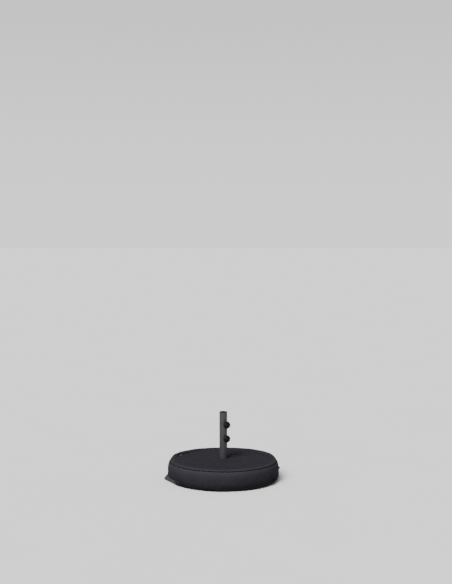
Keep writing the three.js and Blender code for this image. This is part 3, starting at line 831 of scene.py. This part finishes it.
def make_slider():
    """The zip's slider and pull. They are made lying along X at the origin, then turned into place."""
    metal = M["zip_metal"]
    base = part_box("zip_coil")[1].z + 0.3 * MM
    plate_top = base + 1.4 * MM
    pivot = SLIDER_AT.z
    shield = rounded([(8, 3.4), (3, 5.6), (-3, 5.6), (-8, 4.2),
                      (-8, -4.2), (-3, -5.6), (3, -5.6), (8, -3.4)], 2)
    plate = extruded("plate", shield * MM, [], base, plate_top, 0.35 * MM, metal)
    lips = []
    for side in (-1, 1):
        y0, y1 = sorted((side * 3.6, side * 5.5))
        lip = rounded([(-6.6, y0), (6, y0), (6, y1), (-6.6, y1)], 0.8)
        lips.append(extruded("lip", lip * MM, [], base - 0.9 * MM, base + 0.3 * MM, 0.2 * MM, metal))
    up = pivot - plate_top
    arch = rounded([(-6.4, -0.6), (6.4, -0.6), (6.2, up / MM + 1.4), (4.4, up / MM + 2.9),
                    (-4.4, up / MM + 2.9), (-6.2, up / MM + 1.4)], 1.6)
    window = rounded([(-4.7, 0.1), (4.7, 0.1), (4.4, up / MM + 1.5), (-4.4, up / MM + 1.5)], 0.8)
    bridge = extruded("bridge", arch * MM, [window * MM], -1.5 * MM, 1.5 * MM, 0.4 * MM, metal)
    bridge.data.transform(Matrix.Translation((0, 0, plate_top)) @ Matrix.Rotation(math.pi / 2, 4, "X"))
    slider = joined("zip_slider_body", [plate, *lips, bridge])
    auto_smooth(slider, 35)

    tongue = rounded([(-0.8, -4.2), (10.5, -4.2), (14, -3.3), (25, -3.4, 3.4), (25.4, 0, 2),
                      (25, 3.4, 3.4), (14, 3.3), (10.5, 4.2), (-0.8, 4.2)], 1.2)
    eye = rounded([(0.8, -2.2), (7.8, -2.2), (7.8, 2.2), (0.8, 2.2)], 0.7)
    grip = rounded([(13.5, -1.1), (21.5, -1.1), (21.5, 1.1), (13.5, 1.1)], 1.1)
    holes = [eye * MM, grip * MM]
    pull = extruded("zip_pull_tab", tongue * MM, holes, -0.7 * MM, 0.7 * MM, 0.35 * MM, metal)
    pull.data.transform(Matrix.Translation((0, 0, pivot)) @ Matrix.Rotation(math.radians(6), 4, "Y"))

    spin = Matrix.Rotation(ZIP_END + math.pi / 2, 4, "Z")
    at = Matrix.Translation((SLIDER_AT.x, SLIDER_AT.y, 0))
    for obj, body, node in ((slider, "slider", "zip_slider"), (pull, "pull", "zip_pull")):
        obj.data.transform(at @ spin)
        place(obj, body, "zip_metal", node)


# ---------- the handles ----------
WEBBING = 2.2 * MM
PATCH = 1.2 * MM
# the sewn ends' lower and upper edges, as [radius, height]
SEWN = np.array([(0.3222, 0.0070), (0.3379, 0.0344)])
HALF_SPAN = math.radians(38)
PATCH_SPAN = math.radians(6.75)
LEAVES_WALL = math.radians(24.8)
FREE = 1 - PATCH_SPAN / HALF_SPAN  # the share of the half span between the patches


def drawn_out(angle):
    """1 at the tip of a loop that stands out, its sides straight in plan, and 0 where it lies on the cover."""
    angle = math.hypot(angle, 0.03)
    return (1 / math.cos(max(LEAVES_WALL - angle, 0)) - 1) / (1 / math.cos(LEAVES_WALL) - 1)


def tucked_under(angle):
    """1 at the middle of a loop that lies under the cover's belly, 0 where it meets its patches."""
    free = min(angle / (HALF_SPAN - PATCH_SPAN), 1)
    return (1 - free**2) ** 1.2


def handle_points(az, shape, u, t, out, kinks=()):
    """A point of a handle: u from -1 to 1 along it, t from 0 to 1 across it, out from its inner face.
    Each kink is (place along the handle, reach) where its lower edge folds outwards."""
    middle, share = shape
    edges = SEWN + (np.array(middle) - SEWN) * share(abs(u) * HALF_SPAN)
    for at, reach in kinks:
        edges[0] += np.array([reach, -0.3 * reach]) * math.exp(-(((u - at) / 0.06) ** 2))
    along = edges[1] - edges[0]
    normal = np.array([along[1], -along[0]]) / np.linalg.norm(along)
    out += 4 * t * (1 - t) * 2.0 * MM
    r, z = edges[0] + along * t + normal * out
    turn = az + HALF_SPAN * u
    return np.array([r * math.cos(turn), r * math.sin(turn), z])


def strap_section(thickness, edge=0.035, count=9):
    """Points (across, out) round a strap's section, with rounded edges and a slightly full face."""
    outer = [(t, thickness * (1 - 0.25 * abs(2 * t - 1) ** 6)) for t in np.linspace(edge, 1 - edge, count)]
    inner = [(t, thickness * 0.25 * abs(2 * t - 1) ** 6) for t in np.linspace(1 - edge, edge, count)]
    return outer + [(1 - edge * 0.15, thickness * 0.5)] + inner + [(edge * 0.15, thickness * 0.5)]


def make_handle(side, az, shape, kinks=()):
    section = strap_section(WEBBING)
    stations = np.linspace(-1, 1, 161)
    points = np.zeros((len(section), len(stations), 3))
    for j, u in enumerate(stations):
        for i, (t, out) in enumerate(section):
            points[i, j] = handle_points(az, shape, u, t, out, kinks)
    material = M["shaded_webbing"] if kinks else M["webbing"]  # the tucked one gets a darker copy of the webbing: painted shade under the cover's belly
    strap = grid_object(f"handle_{side}_webbing", points, material, wrap_rows=True)
    cap_ends(strap)
    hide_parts(f"handle_{side}")
    if kinks:
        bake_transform(strap)
    else:
        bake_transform(strap)

    starts, ends = [], []
    for end, sign in (("a", -1), ("b", 1)):
        base = WEBBING + 0.3 * MM
        patch = handle_patch(f"handle_{side}_patch_{end}_cloth", az, shape, sign, base)
        place(patch, "root", "cover_cloth", f"handle_{side}_patch_{end}")
        for pair in patch_stitches(az, shape, sign, base + PATCH):
            starts.append(pair[0])
            ends.append(pair[1])
    place(capsules(f"handle_{side}_stitching", starts, ends, 0.4 * MM, M["thread"]), "root", "cover_cloth")


def handle_patch(name, az, shape, sign, base):
    """The patch of cloth over one sewn end, base above the strap's inner face."""
    low, high = 0.1, 0.97
    section = [(low + (high - low) * t, base + out) for t, out in strap_section(PATCH, 0.02)]
    along = np.linspace(FREE, 1.0, 14) * sign
    points = np.array([[handle_points(az, shape, u, t, out) for u in along] for t, out in section])
    return cap_ends(grid_object(name, points, M["cover_cloth"], wrap_rows=True))


def patch_stitches(az, shape, sign, out):
    """Pairs of points for the stitches of a patch: a box with a cross in it."""
    left, right, low, high = FREE + 0.03, 0.97, 0.18, 0.89
    corners = [(left, low), (right, low), (right, high), (left, high)]
    runs = [(corners[k], corners[(k + 1) % 4]) for k in range(4)]
    runs += [(corners[0], corners[2]), (corners[1], corners[3])]
    pairs = []
    for (u0, t0), (u1, t1) in runs:
        length = math.hypot((u1 - u0) * HALF_SPAN * 0.33, (t1 - t0) * 0.03)
        count = max(2, int(length / (3.2 * MM)))
        for k in range(count):
            shares = (k / count, (k + 0.75) / count)
            spots = [(u0 + (u1 - u0) * f, t0 + (t1 - t0) * f) for f in shares]
            pairs.append([handle_points(az, shape, u * sign, t, out) for u, t in spots])
    return pairs


def make_handles():
    out = [(0.3668, 0.0056), (0.3382, 0.0300)], drawn_out
    tucked = [(0.3150, 0.0020), (0.3354, 0.0240)], tucked_under
    make_handle("left", math.pi, out)
    make_handle("back_right", math.radians(60), out)
    make_handle("front_right", math.radians(-60), tucked, kinks=[(-0.13, 3 * MM), (0.18, 3 * MM)])


def make_side_loop():
    """A folded tab of tape on the cover's right side."""
    low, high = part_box("side_loop")
    wall = low.x
    reach = high.x - wall
    half = (high.y - low.y) / 2 - 0.7 * MM
    bend = wall + reach - half - 0.7 * MM
    path = [(wall - 1 * MM, -half), (bend, -half)]
    path += [(bend + half * math.sin(a), -half * math.cos(a)) for a in np.linspace(0.2, math.pi - 0.2, 9)]
    path += [(bend, half), (wall - 1 * MM, half)]
    line = np.array([(x, y, (low.z + high.z) / 2) for x, y in smooth_line(path, 60)])
    tall = (high.z - low.z) / 2
    section = rounded([(-0.6 * MM, -tall), (0.6 * MM, -tall), (0.6 * MM, tall), (-0.6 * MM, tall)], 0.5 * MM)
    loop = band_along("side_loop_tape", line, section, M["black_tape"])
    loop.data.transform(Matrix.Rotation(math.radians(2), 4, "Z"))
    place(loop, "root", "black_tape", "side_loop")


# ---------- the tube and its fittings ----------
TUBE_R = 24 * MM
TUBE_IN = 22.5 * MM
SCREW_AXIS = Vector(JOINTS["upper_screw_turn"]["axis"]).normalized()
SCREW_AZ = math.atan2(SCREW_AXIS.y, SCREW_AXIS.x)


def screw_matrix(level):
    """Takes a piece made along Z at the origin to a screw's axis, with its X axis pointing down."""
    z = JOINTS[f"{level}_screw_turn"]["pos_m"][2]
    turn = Matrix.Rotation(SCREW_AZ, 4, "Z") @ Matrix.Rotation(math.pi / 2, 4, "Y")
    return Matrix.Translation((0, 0, z)) @ turn


def make_tube():
    low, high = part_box("clamp_tube")
    profile = rounded([(TUBE_IN, low.z), (TUBE_R, low.z), (TUBE_R, high.z), (TUBE_IN, high.z)], 0.5 * MM, 4)
    tube = lathe("clamp_tube_shell", profile, M["tube_paint"], 128)
    for level in ("upper", "lower"):
        drill = lathe("drill", [(0, 15 * MM), (5.6 * MM, 15 * MM), (5.6 * MM, 30 * MM), (0, 30 * MM)],
                      M["tube_paint"], 48, closed=False)
        drill.data.transform(screw_matrix(level))
        bpy.context.view_layer.update()
        modified(tube, "BOOLEAN", operation="DIFFERENCE", object=drill, solver="EXACT")
        bpy.data.objects.remove(drill)
    auto_smooth(tube, 40)
    place(tube, "root", "tube_paint", "clamp_tube")

    low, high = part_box("top_bush")
    inner, liner = 19.5 * MM, 22.2 * MM
    under = high.z - 2.5 * MM
    bush = rounded([(inner, low.z, 0.8 * MM), (liner, low.z, 0.8 * MM), (liner, under, 0.1 * MM),
                    (TUBE_R, under, 0.3 * MM), (TUBE_R, high.z, 1.1 * MM),
                    (inner, high.z, 1.4 * MM)], 0.8 * MM, 7)
    place(lathe("top_bush_moulding", bush, M["black_plastic"], 128), "root", "black_plastic", "top_bush")

    low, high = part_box("pole_seat")
    outer = high.x
    seat = rounded([(5 * MM, low.z), (outer, low.z), (outer, high.z), (20.4 * MM, high.z),
                    (19.4 * MM, low.z + 6 * MM), (5 * MM, low.z + 6 * MM)], 0.6 * MM)
    place(lathe("pole_seat_moulding", seat, M["black_plastic"], 96), "root", "black_plastic", "pole_seat")


def make_neck(points):
    """The bound edge of the tube's hole: a soft roll of tape."""
    inner, outer = 25.5 * MM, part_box("neck_ring")[1].x
    base = points[-1, :, 2].mean() + 0.3 * MM
    turns = np.linspace(0, TAU, 180, endpoint=False)
    wave = 0.22 * MM * np.sin(turns * 31 + 1.5 * np.sin(turns * 5))
    section = rounded([(inner, base - 1.2 * MM), (inner + 0.6 * MM, base + 1.2 * MM),
                       (outer - 2 * MM, base + 1.6 * MM), (outer, base + 1.2 * MM),
                       (outer - 0.5 * MM, base + 0.5 * MM)], 1.0 * MM, 5)
    grid = ring(section[:, :1], turns, section[:, 1:] + wave * (section[:, 1:] > base))
    binding = grid_object("neck_binding", grid, M["black_tape"], wrap_rows=True, wrap_columns=True)
    place(tidy_poles(binding), "root", "black_tape", "neck_ring")


def make_boss(level):
    """A threaded boss with a saddle end on the tube and a weld bead round it."""
    r_boss, r_bore, face = 9 * MM, 5.3 * MM, 29.5 * MM
    turns = np.linspace(0, TAU, 72, endpoint=False)

    def saddle(radius):
        """How far out the tube's surface is under a circle round the screw's axis. Local Y lies across."""
        return np.sqrt(TUBE_R**2 - (radius * np.sin(turns)) ** 2)

    rows = []
    outline = [(r_bore, None), (r_boss, None), (r_boss, face - 1.0 * MM),
               (r_boss - 0.3 * MM, face - 0.3 * MM), (r_boss - 1.0 * MM, face),
               (r_bore + 0.8 * MM, face), (r_bore, face - 0.8 * MM)]
    for radius, height in outline:
        rows.append(ring(radius, turns, saddle(radius) + 0.05 * MM if height is None else height))
    boss = tidy_poles(grid_object(f"{level}_boss_turned", np.array(rows), M["tube_paint"], wrap_rows=True,
                                  wrap_columns=True))
    auto_smooth(boss, 40)
    boss.data.transform(screw_matrix(level))
    place(boss, "root", "tube_paint", f"{level}_boss")

    bead = []
    scallop = 1 + 0.12 * np.sin(turns * 26)
    for a in np.linspace(0, TAU, 10, endpoint=False):
        radius = r_boss + 0.9 * MM + 1.5 * MM * scallop * np.cos(a)
        z = saddle(radius) + 0.9 * MM + 1.3 * MM * scallop * np.sin(a)
        bead.append(ring(radius, turns, z))
    weld = tidy_poles(grid_object(f"{level}_boss_weld", np.array(bead), M["tube_paint"], wrap_rows=True,
                                  wrap_columns=True))
    weld.data.transform(screw_matrix(level))
    place(weld, "root", "tube_paint")


def make_screw(level):
    """One hand screw: a threaded stud with a fluted knob, and the pressure pad on its tip."""
    matrix = screw_matrix(level)
    pitch, r_stud = 1.5 * MM, 5 * MM
    turns = np.linspace(0, TAU, 48, endpoint=False)
    start, end = 22.6 * MM, 49.1 * MM
    heights = np.arange(start + 0.6 * MM, end, 0.25 * MM)
    rows = [(2.6 * MM, start + 4.6 * MM), (2.6 * MM, start), (r_stud - 0.9 * MM, start)]
    grid = [ring(r, turns, z) for r, z in rows]
    for z in heights:
        phase = (z / pitch - turns / TAU) % 1
        r = r_stud - 0.85 * MM * np.abs(2 * phase - 1)
        grid.append(ring(r, turns, z))
    grid.insert(0, grid[0] * np.array([1e-4, 1e-4, 1]))
    grid.append(grid[-1] * np.array([1e-4, 1e-4, 1]))
    stud = grid_object(f"{level}_stud_thread", np.array(grid), M["zinc"], wrap_columns=True)
    tidy_poles(stud)
    auto_smooth(stud, 30)
    stud.data.transform(matrix)
    place(stud, f"{level}_hand_screw", "zinc", f"{level}_stud")

    back, front, radius = 35.5 * MM, 58.5 * MM, 22 * MM
    outline = smooth_knob(back, front, radius)
    turns = np.linspace(0, TAU, 196, endpoint=False)
    flute = (0.5 - 0.5 * np.cos(7 * turns)) ** 3
    grid = []
    for r, z, depth in outline:
        grid.append(ring(r - depth * flute, turns, z))
    knob = grid_object(f"{level}_knob_moulding", np.array(grid), M["black_plastic"], wrap_columns=True)
    tidy_poles(knob)
    auto_smooth(knob, 50)
    knob.data.transform(matrix)
    place(knob, f"{level}_hand_screw", "black_plastic", f"{level}_knob")

    tip = 19.3 * MM
    pad = rounded([(0, tip), (4.6 * MM, tip), (4.8 * MM, tip + 3 * MM), (2.2 * MM, tip + 3 * MM),
                   (2.2 * MM, tip + 7 * MM), (0, tip + 7 * MM)], 0.5 * MM, 4, closed=False)
    disc = lathe(f"{level}_pad_moulding", pad, M["black_plastic"], 48, closed=False)
    disc.data.transform(matrix)
    place(disc, f"{level}_clamp_pad", "black_plastic", f"{level}_pad")


def smooth_knob(back, front, radius):
    """The knob's outline from its bore over its back, side and domed front, as (radius, place, flute depth).
    The third value of each corner is how much it is rounded."""
    corners = [
        (0.0, back + 13.8 * MM, 0), (5.3 * MM, back + 13.8 * MM, 0.2 * MM),
        (5.3 * MM, back, 0.5 * MM), (10 * MM, back, 0.6 * MM),
        (10.8 * MM, back + 2.5 * MM, 1.2 * MM), (18.5 * MM, back + 3.2 * MM, 1.5 * MM),
        (radius, back + 5.5 * MM, 2.4 * MM), (radius, front - 6 * MM, 5.0 * MM),
        (17.5 * MM, front - 1.2 * MM, 4 * MM), (11.2 * MM, front - 0.6 * MM, 1.0 * MM),
        (10.4 * MM, front - 1.6 * MM, 0.5 * MM), (9.6 * MM, front - 0.5 * MM, 0.8 * MM), (0.0, front, 0),
    ]
    out = []
    for r, z in rounded(corners, 1 * MM, 7, closed=False):
        outer = np.clip((r - 13 * MM) / (7 * MM), 0, 1)
        out.append((r, z, 1.9 * MM * outer**2))
    return out


def dress_hidden_nodes():
    """The pieces inside the cover keep their CAD shapes and get their own materials."""
    slots = {s["node"]: s["material_slot"] for s in frame["record"]["subparts"]}
    for name, obj in frame["nodes"].items():
        if obj.hide_render:
            continue
        obj.data.materials.clear()
        obj.data.materials.append(M[slots[name]])


# ---------- the studio ----------
def make_studio():
    """A wide pale floor just under the base, and one soft key light from the front left."""
    reach, under = 60, -0.0004
    corners = [(-reach, -reach, under), (reach, -reach, under), (reach, reach, under), (-reach, reach, under)]
    floor = new_object("floor", corners, [(0, 1, 2, 3)], floor_material(), smooth=False)
    make_world()
    light = bpy.data.lights.new("key", "SUN")
    light.energy = 6.5
    light.angle = math.radians(30)
    key = bpy.data.objects.new("key", light)
    key.rotation_euler = (-Vector((-0.45, -1.0, 1.05))).to_track_quat("-Z", "Y").to_euler()
    bpy.context.scene.collection.objects.link(key)


def make_world():
    """Soft grey light all round, as bright at the horizon as the floor and dimmer overhead."""
    world = bpy.data.worlds.new("studio")
    world.use_nodes = True
    tree = world.node_tree
    background = tree.nodes["Background"]
    place_node = tree.nodes.new("ShaderNodeTexCoord")
    split = tree.nodes.new("ShaderNodeSeparateXYZ")
    height = tree.nodes.new("ShaderNodeMapRange")
    tree.links.new(place_node.outputs["Generated"], split.inputs[0])
    tree.links.new(split.outputs["Z"], height.inputs["Value"])
    for name, value in (("From Min", 0.02), ("From Max", 0.5), ("To Min", 1.24), ("To Max", 0.38)):
        height.inputs[name].default_value = value
    background.inputs["Color"].default_value = (1, 1, 1, 1)
    tree.links.new(height.outputs[0], background.inputs["Strength"])
    bpy.context.scene.world = world


make_camera()
surface, side_rows = make_cover()
make_bottom()
make_zip()
make_slider()
make_handles()
make_side_loop()
make_neck(surface)
make_tube()
for level in ("upper", "lower"):
    make_boss(level)
    make_screw(level)
dress_hidden_nodes()
make_studio()
